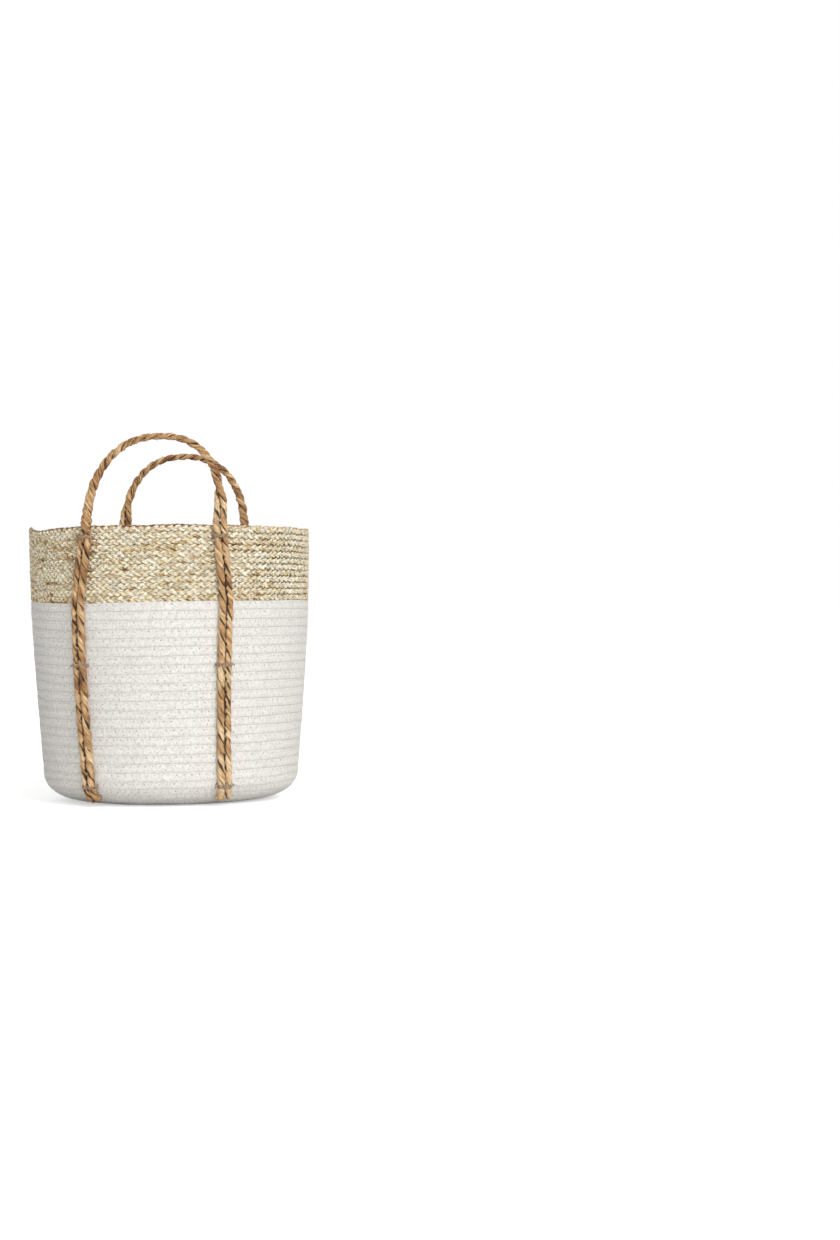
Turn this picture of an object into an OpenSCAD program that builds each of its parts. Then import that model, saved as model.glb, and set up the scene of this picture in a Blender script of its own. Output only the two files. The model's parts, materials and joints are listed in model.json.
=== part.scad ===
// Laundry basket: a coiled cotton rope body, a braided maize leaf band and two twisted rope handles.
// Millimetres, +Z up, origin at the centre of the underside. The handles stand over -Y (front) and +Y.

/* [Body] */
// Outside diameter at the rim
rim_d = 380; // [340:5:420]
// Outside diameter of the wall where the rounded heel ends
heel_d = 345; // [300:5:375]
// Diameter of the flat floor inside the rounded heel
floor_d = 180; // [120:5:240]
// Height over which the heel turns up into the wall
heel_rise = 44; // [30:1:60]
// Squareness of the heel, 2 for an ellipse
heel_power = 2.5; // [2:0.1:3]
// Height of the cotton rope part
cotton_h = 267.8; // [220:0.1:310]
// Thickness of the coiled cotton rope wall
cotton_t = 8.5; // [6:0.5:12]
// Width of one turn of the cotton rope along the wall
coil_pitch = 11.65; // [8:0.05:16]
// Depth of the groove between two turns
coil_groove = 0.8; // [0.3:0.1:1.5]

/* [Braided band] */
// Number of braid rows below the rim braid
braid_rows = 11; // [5:1:15]
// Height of one braid row
braid_h = 8.1; // [6:0.1:12]
// Thickness of the braid
braid_t = 7; // [5:0.5:9]
// Depth of the groove between two braid rows
braid_groove = 0.9; // [0.3:0.1:1.5]
// Diameter of the thread that sews the band to the top coil
thread_d = 0.9; // [0.6:0.1:1.2]
// Number of zigzags in that seam
zigzags = 60; // [40:1:80]

/* [Handles] */
// Diameter of each rope beside the wall
rope_d = 9.4; // [7:0.2:11]
// Diameter of each rope at the top of the arch, where the pair is twisted tight
crown_d = 6; // [4:0.2:8]
// Angle from the middle of a handle to each of its legs, low on the wall
leg_angle = 30; // [22:0.5:34]
// The same angle at the rim
rim_angle = 26.2; // [20:0.2:30]
// Extra angle of the legs at floor level, where the heel curves away behind them
foot_splay = 3; // [0:0.5:5]
// Angle by which the front legs bow to the left half way up
front_bow = 1.6; // [-2:0.1:2]
// Angle by which the rear legs bow to the left half way up
rear_bow = 0; // [-2:0.1:2]
// Height where the legs end, on the heel
leg_end_z = 14; // [10:1:30]
// Height from the hinge line to the middle of the arch rope
arch_h = 109; // [80:1:140]
// Squareness of the arch, 2 for an ellipse
arch_power = 2.3; // [2:0.1:3]
// Sideways offset of the top of the front arch
front_sway = 10; // [-15:1:15]
// Sideways offset of the top of the rear arch
rear_sway = 0; // [-15:1:15]
// Length of one full twist of the pair
twist_pitch = 34; // [26:1:44]
// Length at each end of the arch where the ropes run side by side
side_by_side = 20; // [12:1:30]

/* [Lashings] */
// Diameter of the lashing twine
twine_d = 1.8; // [1.2:0.1:2.4]
// Number of wraps in a lashing
wraps = 2; // [1:1:3]
// Height of the low lashings
tie_low_z = 30; // [26:1:60]
// How far below halfway the middle lashings sit
tie_middle_drop = 5; // [-20:1:20]
// Depth of the top lashings below the rim
tie_below_rim = 13; // [13:0.5:17]

/* [Clearances] */
// Gap between ropes, twine and wall
gap = 0.3; // [0.2:0.05:0.5]
// Gap between the two ropes of a pair
pair_gap = 0.5; // [0.3:0.05:0.8]
// Gap between the rim and a handle lying over it
rim_gap = 1.8; // [1:0.1:4]

/* [Hidden] */
SIDES = ["left", "right"];

cotton_colour = [0.92, 0.90, 0.87];
maize_colour = [0.84, 0.76, 0.62];
rope_colour = [0.74, 0.60, 0.45];
twine_colour = [0.62, 0.49, 0.34];

rim_z = cotton_h + (braid_rows + 1) * braid_h;
tie_top_z = rim_z - tie_below_rim;
tie_heights = [tie_low_z, (tie_low_z + tie_top_z) / 2 - tie_middle_drop, tie_top_z];
rope_r = rope_d / 2;
crown_r = crown_d / 2;
twine_r = twine_d / 2;
pair_offset = rope_r + pair_gap / 2;   // from the middle of a pair of ropes to each rope
hinge_z = rim_z + rim_gap + rope_r;
leg_top_z = hinge_z - rope_r - gap;
rope_sides = 10;

// The outer profile of the body as [r, z] points, from the edge of the flat floor to the rim.
heel_steps = 24;
wall_steps = 32;
heel_points = [for (i = [0 : heel_steps]) let (a = 90 * i / heel_steps) [
    floor_d / 2 + (heel_d - floor_d) / 2 * pow(sin(a), 2 / heel_power),
    heel_rise * (1 - pow(cos(a), 2 / heel_power))
]];
wall_points = [for (i = [1 : wall_steps]) let (u = i / wall_steps) [
    heel_d / 2 + (rim_d - heel_d) / 2 * sin(90 * u),
    heel_rise + (rim_z - heel_rise) * u
]];
profile = concat(heel_points, wall_points);

function lengths(p) = [for (i = 0, s = 0; i < len(p); i = i + 1,
    s = i < len(p) ? s + norm(p[i] - p[i - 1]) : s) s];
function table(keys, values) = [for (i = [0 : len(keys) - 1]) [keys[i], values[i]]];
function unit(v) = v / norm(v);
function clamp(x) = min(1, max(0, x));
function smooth(x) = let (c = clamp(x)) c * c * (3 - 2 * c);

run = lengths(profile);
run_r = table(run, [for (p = profile) p[0]]);
run_z = table(run, [for (p = profile) p[1]]);
z_run = table([for (p = profile) p[1]], run);

// The point of the outer profile at length s along it, its direction and its outward normal.
function at(s) = [lookup(s, run_r), lookup(s, run_z)];
function along(s) = unit(at(min(s + 0.5, run[len(run) - 1])) - at(max(s - 0.5, 0)));
function outward(s) = let (t = along(s)) [t[1], -t[0]];
function run_at(z) = lookup(z, z_run);

// A wall from s0 to s1 in rows of the given pitch, grooved on both faces, with square ends.
function grooved(s0, s1, pitch, thick, groove) =
    let (rows = max(1, round((s1 - s0) / pitch)), step = (s1 - s0) / rows, cuts = rows * 4)
    [for (side = [0, 1]) for (j = [0 : cuts])
        let (
            k = side == 0 ? j : cuts - j,
            s = s0 + step * k / 4,
            bulge = (k == 0 || k == cuts) ? 1 : [0, 0.75, 1, 0.75][k % 4],
            depth = side == 0 ? groove * (1 - bulge) : thick - groove * (1 - bulge),
            p = at(s) - outward(s) * depth
        ) [max(p[0], 0), p[1]]];

// A row of flat-ended steps levelled at its two ends, so that it seats on its neighbours.
function levelled(points, low, high) = [for (i = [0 : len(points) - 1])
    let (n = len(points) / 2)
    (i == 0 || i == len(points) - 1) ? [points[i][0], low]
    : (i == n - 1 || i == n) ? [points[i][0], high] : points[i]];

module tube(path, radii, side) {
    n = rope_sides;
    last = len(path) - 1;
    points = [for (i = [0 : last])
        let (
            t = unit(path[min(i + 1, last)] - path[max(i - 1, 0)]),
            u = unit(cross(t, side)),
            v = cross(t, u)
        ) for (k = [0 : n - 1]) path[i] + radii[i] * (cos(360 * k / n) * u + sin(360 * k / n) * v)];
    faces = concat(
        [[for (k = [n - 1 : -1 : 0]) k]],
        [[for (k = [0 : n - 1]) last * n + k]],
        [for (i = [0 : last - 1]) for (k = [0 : n - 1])
            [i * n + k, i * n + (k + 1) % n, (i + 1) * n + k]],
        [for (i = [0 : last - 1]) for (k = [0 : n - 1])
            [i * n + (k + 1) % n, (i + 1) * n + (k + 1) % n, (i + 1) * n + k]]
    );
    polyhedron(points, [for (f = faces) [for (k = [len(f) - 1 : -1 : 0]) f[k]]], convexity = 8);
}

// A closed tube through points that lie near a level plane.
module closed_tube(path, radius, n) {
    count = len(path);
    points = [for (i = [0 : count - 1])
        let (t = path[(i + 1) % count] - path[(i + count - 1) % count], out = unit([t[1], -t[0], 0]))
        for (k = [0 : n - 1]) path[i] + radius * (cos(360 * k / n) * out + sin(360 * k / n) * [0, 0, 1])];
    polyhedron(points, concat(
        [for (i = [0 : count - 1]) for (k = [0 : n - 1])
            [i * n + k, i * n + (k + 1) % n, ((i + 1) % count) * n + k]],
        [for (i = [0 : count - 1]) for (k = [0 : n - 1])
            [i * n + (k + 1) % n, ((i + 1) % count) * n + (k + 1) % n, ((i + 1) % count) * n + k]]
    ), convexity = 8);
}

// ---- legs ----

// The bow of a pair of legs away from the middle of its handle.
function bow_of(handle, side) = (handle == "front" ? front_bow : rear_bow) * (side == "left" ? 1 : -1);

// The angle of a pair of legs from the middle of its handle, at height z.
function pair_angle(z, bow) =
    leg_angle + (rim_angle - leg_angle) * clamp((z - cotton_h) / (rim_z - cotton_h))
    + foot_splay * pow(clamp(1 - z / heel_rise), 2) + bow * sin(180 * z / rim_z);

// A point on the wall at length s, moved sideways by "across" and out by "off", at the front right.
function on_wall(s, across, off, bow) =
    let (p = at(s) + outward(s) * off, a = pair_angle(at(s)[1], bow))
    [p[0] * sin(a) + across * cos(a), -p[0] * cos(a) + across * sin(a), p[1]];

rim_point = on_wall(run_at(rim_z), -pair_offset, gap + rope_r, 0);
hinge_y = -rim_point[1];
hinge_x = on_wall(run_at(rim_z), 0, gap + rope_r, 0)[0];

module leg(across, bow) {
    low_s = run_at(leg_end_z);
    heel_s = run_at(heel_rise * 1.2);
    tie_s = run_at(tie_top_z) + wraps * twine_r + gap;
    heel_part = [for (i = [0 : 11]) low_s + (heel_s - low_s) * i / 12];
    wall_part = [for (i = [0 : 16]) heel_s + (tie_s - heel_s) * i / 16];
    wall_path = [for (s = concat(heel_part, wall_part)) on_wall(s, across, gap + rope_r, bow)];
    middle = on_wall(tie_s, 0, gap + rope_r, bow);
    lift = [for (i = [1 : 5]) let (u = i / 5, a = pair_angle(middle[2], bow) * (1 - smooth(u)))
        [middle[0] + (hinge_x - middle[0]) * smooth(u) + across * cos(a),
         middle[1] + (-hinge_y - middle[1]) * smooth(u) + across * sin(a),
         middle[2] + (leg_top_z - middle[2]) * u]];
    path = concat(wall_path, lift);
    color(rope_colour) tube(path, [for (p = path) rope_r], [cos(leg_angle), sin(leg_angle), 0]);
}

// Puts a front right piece at the named handle and side.
module place(handle, side) {
    turn = handle == "front" ? 0 : 180;
    flip = (handle == "front") == (side == "left") ? 1 : 0;
    rotate([0, 0, turn]) mirror([flip, 0, 0]) children();
}

// ---- arches ----

arch_steps = 160;
function arch_point(i, sway) = let (a = 180 * i / arch_steps, c = cos(a), lift = pow(sin(a), 2 / arch_power))
    [-sign(c) * hinge_x * pow(abs(c), 2 / arch_power) + sway * lift, -hinge_y, hinge_z + arch_h * lift];

// Share of the whole twist reached at share x of the twisted length, easing in and out over "ease".
ease = 0.12;
function twist_ramp(x) =
    x < ease ? x * x / (2 * ease * (1 - ease))
    : x > 1 - ease ? 1 - (1 - x) * (1 - x) / (2 * ease * (1 - ease))
    : (x - ease / 2) / (1 - ease);

module strand(sway, start_angle) {
    arch = [for (i = [0 : arch_steps]) arch_point(i, sway)];
    len_at = lengths(arch);
    total = len_at[arch_steps];
    arch_x = table(len_at, [for (p = arch) p[0]]);
    arch_z = table(len_at, [for (p = arch) p[2]]);
    twisted = total - 2 * side_by_side;
    half_turns = round(twisted / (twist_pitch / 2));
    rings = half_turns * 5 + 6;
    function mid(s) = [lookup(s, arch_x), -hinge_y, lookup(s, arch_z)];
    function strand_r(s) = rope_r - (rope_r - crown_r) * (mid(s)[2] - hinge_z) / arch_h;
    function strand_point(s) =
        let (
            t = s < 1 || s > total - 1 ? [0, 0, s < 1 ? 1 : -1] : unit(mid(s + 0.5) - mid(s - 0.5)),
            inward = cross([0, 1, 0], t),
            a = start_angle + 180 * half_turns * twist_ramp(clamp((s - side_by_side) / twisted))
        ) mid(s) + (strand_r(s) + pair_gap / 2) * (cos(a) * inward + sin(a) * [0, -1, 0]);
    body_path = [for (i = [0 : rings]) strand_point(total * i / rings)];
    body_radii = [for (i = [0 : rings]) strand_r(total * i / rings)];
    dome = [70, 35];
    path = concat(
        [for (a = dome) body_path[0] - [0, 0, rope_r * sin(a)]],
        body_path,
        [for (a = [dome[1], dome[0]]) body_path[rings] - [0, 0, rope_r * sin(a)]]
    );
    radii = concat(
        [for (a = dome) rope_r * cos(a)],
        body_radii,
        [for (a = [dome[1], dome[0]]) rope_r * cos(a)]
    );
    color(rope_colour) tube(path, radii, [0, 1, 0]);
}

// ---- lashings ----

// Places children on the outer face of the wall at height z at the front right: X across, Y out, Z up.
module wall_frame(z, bow) {
    s = run_at(z);
    t = along(s);
    a = pair_angle(z, bow);
    translate([at(s)[0] * sin(a), -at(s)[0] * cos(a), at(s)[1]])
        rotate([0, 0, a]) rotate([atan2(t[0], t[1]), 0, 0]) mirror([0, 1, 0]) children();
}

tie_half = pair_offset + rope_r + gap + twine_r;   // from the middle of a lashing to its side runs
tie_out = 2 * rope_r + 2 * gap + twine_r;          // from the wall's face to its front run
back_sag = tie_half * tie_half / heel_d;           // how far the round wall comes in beside the middle
tie_in = -(max(cotton_t, braid_t) + back_sag + gap + twine_r);   // from the wall's face to its back run
front_bend = rope_r + gap + twine_r;
back_bend = twine_r * 1.5;
slot_half = twine_r + gap;

// The corner of a wrap as a quarter circle of radius r about [x, y], starting at angle "from".
function corner(x, y, r, from, steps) =
    [for (i = [0 : steps]) let (a = from + 90 * i / steps) [x + r * cos(a), y + r * sin(a), 0]];

// One closed wrap of twine round both ropes and through the wall.
module wrap() {
    front_x = tie_half - front_bend;
    back_x = tie_half - back_bend;
    closed_tube(concat(
        corner(front_x, tie_out - front_bend, front_bend, 0, 4),
        corner(-front_x, tie_out - front_bend, front_bend, 90, 4),
        corner(-back_x, tie_in + back_bend, back_bend, 180, 2),
        corner(back_x, tie_in + back_bend, back_bend, 270, 2)
    ), twine_r, 8);
}

wrap_step = twine_d + 0.1;
wrap_heights = [for (i = [0 : wraps - 1]) (i - (wraps - 1) / 2) * wrap_step];

module tie(z, bow) {
    color(twine_colour) wall_frame(z, bow) for (h = wrap_heights) translate([0, 0, h]) wrap();
}

// The two slots that a lashing passes through.
module tie_slots(z, bow) {
    half_h = wrap_step * (wraps - 1) / 2 + slot_half;
    wall_frame(z, bow) for (side = [-1, 1])
        translate([side * tie_half - slot_half, -2 * cotton_t, -half_h])
            cube([2 * slot_half, 3 * cotton_t, 2 * half_h]);
}

module all_slots(heights) {
    for (handle = ["front", "rear"]) for (side = SIDES) for (z = heights)
        place(handle, side) tie_slots(z, bow_of(handle, side));
}

// ---- body ----

module base_coil() {
    rings = max(1, round(floor_d / 2 / coil_pitch));
    step = (floor_d / 2 - gap / 2) / rings;
    top = [for (i = [rings * 4 : -1 : 0])
        let (bulge = i == rings * 4 ? 1 : [0, 0.75, 1, 0.75][i % 4])
        [step * i / 4, cotton_t - coil_groove * (1 - bulge)]];
    color(cotton_colour) rotate_extrude($fn = 96)
        polygon(concat([[0, 0], [step * rings, 0]], top));
}

module wall_coil() {
    s1 = run_at(cotton_h);
    points = grooved(0, s1, coil_pitch, cotton_t, coil_groove);
    floor_edge = floor_d / 2 + gap / 2;
    color(cotton_colour) difference() {
        rotate_extrude($fn = 96) polygon([for (i = [0 : len(points) - 1])
            let (n = len(points) / 2)
            (i == 0 || i == 2 * n - 1) ? [floor_edge, points[i][1]]
            : (i == n - 1 || i == n) ? [points[i][0], cotton_h] : points[i]]);
        all_slots([tie_heights[0], tie_heights[1]]);
    }
}

module maize_band() {
    low = cotton_h;
    high = rim_z - braid_h;
    points = grooved(run_at(low), run_at(high), braid_h, braid_t, braid_groove);
    color(maize_colour) difference() {
        rotate_extrude($fn = 96) polygon(levelled(points, low, high));
        all_slots([tie_top_z]);
    }
}

module rim_braid() {
    low = rim_z - braid_h;
    r_low = at(run_at(low))[0];
    r_top = at(run_at(rim_z))[0];
    round_r = braid_t * 0.35;
    color(maize_colour) rotate_extrude($fn = 96) polygon(concat(
        [[r_low - braid_t, low], [r_low, low]],
        [for (a = [0 : 22.5 : 180])
            let (middle = r_top - (a > 90 ? braid_t - round_r : round_r))
            [middle + round_r * cos(a), rim_z - round_r + round_r * sin(a)]]
    ));
}

// The zigzag thread that holds the band to the top coil, lying on the inner face across the joint.
module band_thread() {
    reach = 3.5;
    thread_r = thread_d / 2;
    inner_r = at(run_at(cotton_h - reach))[0] - cotton_t - gap / 2 - thread_r;
    count = 2 * zigzags;
    color(cotton_colour) closed_tube([for (i = [0 : count - 1]) let (a = 360 * i / count)
        [inner_r * sin(a), -inner_r * cos(a), cotton_h + (i % 2 == 0 ? -reach : reach)]], thread_r, 6);
}

base_coil();
wall_coil();
maize_band();
rim_braid();
band_thread();

for (handle = ["front", "rear"]) for (side = SIDES) {
    stem = str(handle, "_", side, "_");
    for (leg_name = ["inner", "outer"])
        place(handle, side) leg(leg_name == "inner" ? -pair_offset : pair_offset, bow_of(handle, side));
    for (i = [0 : 2])
        place(handle, side) tie(tie_heights[i], bow_of(handle, side));
}

for (handle = ["front", "rear"]) for (k = [0, 1])
    rotate([0, 0, handle == "front" ? 0 : 180])
            strand(handle == "front" ? front_sway : rear_sway, k == 0 ? 180 : 0);
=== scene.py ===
"""A round laundry basket of coiled cotton rope, with a band of braided husk and two twisted rope handles.

Everything is in metres, +Z up, with the origin at the centre of the underside and the front handle over -Y.
"""

import json
import math

import bmesh
import bpy
import numpy as np
from mathutils import Matrix, Vector

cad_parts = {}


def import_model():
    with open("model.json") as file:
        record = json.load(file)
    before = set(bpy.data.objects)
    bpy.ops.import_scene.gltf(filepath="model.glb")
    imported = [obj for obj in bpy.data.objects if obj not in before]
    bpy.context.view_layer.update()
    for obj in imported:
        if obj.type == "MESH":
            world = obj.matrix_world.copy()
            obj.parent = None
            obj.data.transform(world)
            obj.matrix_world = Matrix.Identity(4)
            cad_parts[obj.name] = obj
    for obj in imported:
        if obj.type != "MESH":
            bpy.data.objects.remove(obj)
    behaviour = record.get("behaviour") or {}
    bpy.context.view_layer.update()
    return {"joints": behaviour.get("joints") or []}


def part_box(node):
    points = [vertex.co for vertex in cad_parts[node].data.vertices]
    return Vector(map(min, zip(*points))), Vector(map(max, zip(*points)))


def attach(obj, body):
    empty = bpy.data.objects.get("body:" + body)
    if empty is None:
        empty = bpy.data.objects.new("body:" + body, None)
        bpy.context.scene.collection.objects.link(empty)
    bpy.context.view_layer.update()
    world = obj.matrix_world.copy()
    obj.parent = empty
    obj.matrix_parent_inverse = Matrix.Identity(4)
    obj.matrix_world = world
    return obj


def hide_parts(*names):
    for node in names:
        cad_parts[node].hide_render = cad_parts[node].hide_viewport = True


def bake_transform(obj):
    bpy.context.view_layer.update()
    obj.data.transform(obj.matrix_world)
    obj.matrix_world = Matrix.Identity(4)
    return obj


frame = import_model()

# ---- sizes read from the frame ----
rim_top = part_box("rim_braid")[1]
floor_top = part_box("base_coil")[1]
RIM_R = rim_top.x
RIM_Z = rim_top.z
COTTON_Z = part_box("maize_band")[0].z
FLOOR_R = floor_top.x
COTTON_THICK = floor_top.z
HINGE = Vector(frame["joints"][0]["pos_m"])

# ---- the body: a heel rounded like a squared ellipse, and a wall that widens to the rim ----
HEEL_R = 0.1725
HEEL_RISE = 0.044
HEEL_POWER = 2.5  # 2 is round and more is squarer
ABOVE_RIM = 0.02  # how far the profile goes on over the rim
WALL_PULL = 0.0072  # how much higher the soft wall stands at one side
PULL_FULL_Z = 0.20
RIM_PEAK = 0.0050
RIM_DIP = 0.0028
RIM_WAVE = 0.0005

# ---- the cotton coil and its stitches ----
COIL_PITCH = 0.01165
COIL_START = -0.5  # the turn at the middle of the floor
COIL_SIDES = 18  # corners of the rope's section
FLOOR_RINGS = 96  # in each turn
WALL_RINGS = 188
ROW_FALL = 0.0006  # how far a turn is rounded in at its seams
SEAM_AZIMUTH = math.radians(118)  # where the coil and the rows of the band end
SEAM_WOBBLE = 0.00035
STITCH = 0.0097  # length of one zigzag
STITCH_REACH = 0.0032  # how far it reaches from the seam
FIRST_STITCH = 0.6  # the turn where the sewing starts
THREAD_THICK = 0.00018  # half sizes, as every THICK and WIDE
THREAD_WIDE = 0.00021
THREAD_SINK = 0.0002  # how deep the middle of the thread lies in the rope
THREAD_WEAVE = 0.0003  # how far it rises and dips there
LOWEST_THREAD = 0.0003
HOLE_R = 0.0010
COVER_LENGTH = 0.0030  # size of one stitch of the rope's braided cover
COVER_WIDTH = 0.0033
COVER_ROUND = 14  # cover stitches round the rope

# ---- the braided band ----
BAND_ROWS = 12
PERIODS = 41  # crossings of the three strands in one row
BRAID_STEP = 16  # rings of a strand from one crossing to the next
SEAM_ZONE = 0.07  # share of the way round over which a row steps up to the next
STRAND_THICK = 0.00135
STRAND_WIDE = 0.59  # over half the height of a row
STRAND_REACH = 1.26  # the same for how far its edge sways
STRAND_SINK = 0.0033  # how deep the middle of the braid lies
STRAND_OVER = 0.0017  # how far a strand passes over and under it
ROW_TONES = (-0.12, 0.02, 0.00, 0.05, -0.03, 0.06, 0.03, 0.00, -0.09, -0.06, 0.02, 0.02)
ZIGZAGS = 60  # of the thick thread over the band's seam
SEAM_THREAD_R = 0.00045
SEAM_THREAD_UP = 0.0015  # how far its middle lies above the seam
CORD_TURNS = 95  # of the two plies of the rim's cord
CORD_R = 0.0011
CORD_SINK = 0.0028

# ---- the handles: ropes in pairs, outer and inner, side by side on the wall and twisted over the arch ----
ROPE_R = 0.0047
CROWN_R = 0.0032  # at the top of the arch
PAIR_GAP = 0.0005  # between the two ropes
GAP = 0.0003  # between rope and wall
LEG_ANGLE = math.radians(30)
RIM_ANGLE = math.radians(26.2)
FOOT_SPLAY = math.radians(3)
FRONT_BOW = math.radians(1.6)
LEG_END_Z = 0.014
ABOVE_TIE = 0.0021  # how far over its top lashing a leg leaves the wall
ARCH_H = 0.109
ARCH_POWER = 2.3
FRONT_SWAY = 0.010
OUT_FRONT = np.array([0.0, -1.0, 0.0])
TWIST_PITCH = 0.034
TWIST_LEAD = 0.0195  # how far below the hinge line, on the left leg, the twist starts
SIDE_BY_SIDE = 0.014  # how far before the end of the arch it ends
SQUEEZE = 0.012  # length over which the ropes come together at the start
RELEASE = 0.05  # and part again at the end
EASE_IN = 0.03  # shares of the twist over which it gathers and loses speed
EASE_OUT = 0.20
ROPE_STEP = 0.0014  # length of the rope from ring to ring
PLY_LAY = 0.037  # length of one turn of a rope's plies
PLY_THICK = 0.57  # size and place of a ply over the rope's radius
PLY_WIDE = 0.80
PLY_OUT = 0.45
FIBRE_R = 0.00022
FIBRE_TIP_R = 0.00005

# ---- the lashings, at three heights on each leg ----
TWINE_R = 0.0011
TWINE_LAY = 0.006
TWINE_STEP = 0.0009
WRAP_POWER = 2.6  # how square a wrap is, as HEEL_POWER
WRAP_ROUND = 6.283  # the angle over which the waves of a wrap are counted
TIE_LOW_Z = 0.030
TIE_TOP_Z = RIM_Z - 0.013
TIE_MIDDLE_Z = (TIE_LOW_Z + TIE_TOP_Z) / 2 - 0.005
TIE_HEIGHTS = {"low": TIE_LOW_Z, "middle": TIE_MIDDLE_Z, "top": TIE_TOP_Z}

PHASES = 6.28  # range of a random phase


def smooth(x):
    """0 up to x = 0, 1 from x = 1, and a soft step between."""
    x = np.clip(x, 0, 1)
    return x * x * (3 - 2 * x)


def lengths(points):
    """Distance along a line of points."""
    return np.concatenate([[0], np.cumsum(np.linalg.norm(np.diff(points, axis=0), axis=1))])


def unit(vectors):
    """The vectors at length 1."""
    return vectors / np.linalg.norm(vectors, axis=-1, keepdims=True)


def even(points, step, *others):
    """The line again at even steps, with any values that go with its points."""
    run = lengths(points)
    at = np.linspace(0, run[-1], max(2, round(run[-1] / step)) + 1)
    pick = lambda a: np.stack([np.interp(at, run, a[:, i]) for i in range(a.shape[1])], 1)
    return [pick(points)] + [pick(o) if o.ndim == 2 else np.interp(at, run, o) for o in others]


def waves(x, seed, *turns):
    """A gentle unevenness, about -1 to 1, made of a few waves of x."""
    rng = np.random.default_rng(seed)
    total = sum(np.sin(2 * math.pi * t * x + rng.uniform(0, PHASES)) for t in turns)
    return total / len(turns) ** 0.5


# ---- the body's outer face ----
def body_profile():
    """Length along the outer face from the middle of the floor, with its radius and height."""
    a = np.linspace(0, math.pi / 2, 80)
    heel_r = FLOOR_R + (HEEL_R - FLOOR_R) * np.abs(np.sin(a)) ** (2 / HEEL_POWER)
    heel_z = HEEL_RISE * (1 - np.abs(np.cos(a)) ** (2 / HEEL_POWER))
    share = np.linspace(0, 1, 101)[1:]
    wall_r = HEEL_R + (RIM_R - HEEL_R) * np.sin(math.pi / 2 * share)
    wall_z = HEEL_RISE + (RIM_Z - HEEL_RISE) * share
    r = np.concatenate([[0], heel_r, wall_r, [RIM_R]])
    z = np.concatenate([[0], heel_z, wall_z, [RIM_Z + ABOVE_RIM]])
    return lengths(np.stack([r, z], 1)), r, z


PROFILE_S, PROFILE_R, PROFILE_Z = body_profile()
PROFILE_OUT = unit(np.stack([np.gradient(PROFILE_Z, PROFILE_S), -np.gradient(PROFILE_R, PROFILE_S)], 1))


def run_at(z):
    """Length along the outer face at a height on the heel or wall."""
    return np.interp(z, PROFILE_Z[1:], PROFILE_S[1:])


def profile_at(s, out=0.0):
    """Radius and height of the outer face at length s, moved outwards by out."""
    away_r = np.interp(s, PROFILE_S, PROFILE_OUT[:, 0])
    away_z = np.interp(s, PROFILE_S, PROFILE_OUT[:, 1])
    r, z = np.interp(s, PROFILE_S, PROFILE_R), np.interp(s, PROFILE_S, PROFILE_Z)
    return r + away_r * out, z + away_z * out


def lean_to(azimuth, middle, spread):
    """1 at one way round the basket, falling to 0 over a spread to each side, all in degrees."""
    off = (np.degrees(azimuth) - middle + 180) % 360 - 180
    return np.exp(-((off / spread) ** 2))


def lift(z, azimuth):
    """How much higher a point of the soft wall stands: a pull at the left, a peak and a dip at the rim."""
    high = smooth((z - COTTON_Z) / (RIM_Z - COTTON_Z))
    wall = WALL_PULL * smooth(z / PULL_FULL_Z) * lean_to(azimuth, 188, 27)
    rim = RIM_PEAK * lean_to(azimuth, 186, 11) - RIM_DIP * lean_to(azimuth, 214, 15)
    wavy = RIM_WAVE * waves(azimuth / (2 * math.pi), 12, 5, 8, 13)
    return wall * (1 - high) + (rim + wavy) * high


def on_body(s, azimuth, out=0.0):
    """A point on the body at length s and an angle counter-clockwise from +X, moved outwards by out.

    Nothing goes below the floor."""
    r, z = profile_at(s, out)
    return np.stack([r * np.cos(azimuth), r * np.sin(azimuth), np.maximum(z + lift(z, azimuth), 0)], -1)


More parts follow.
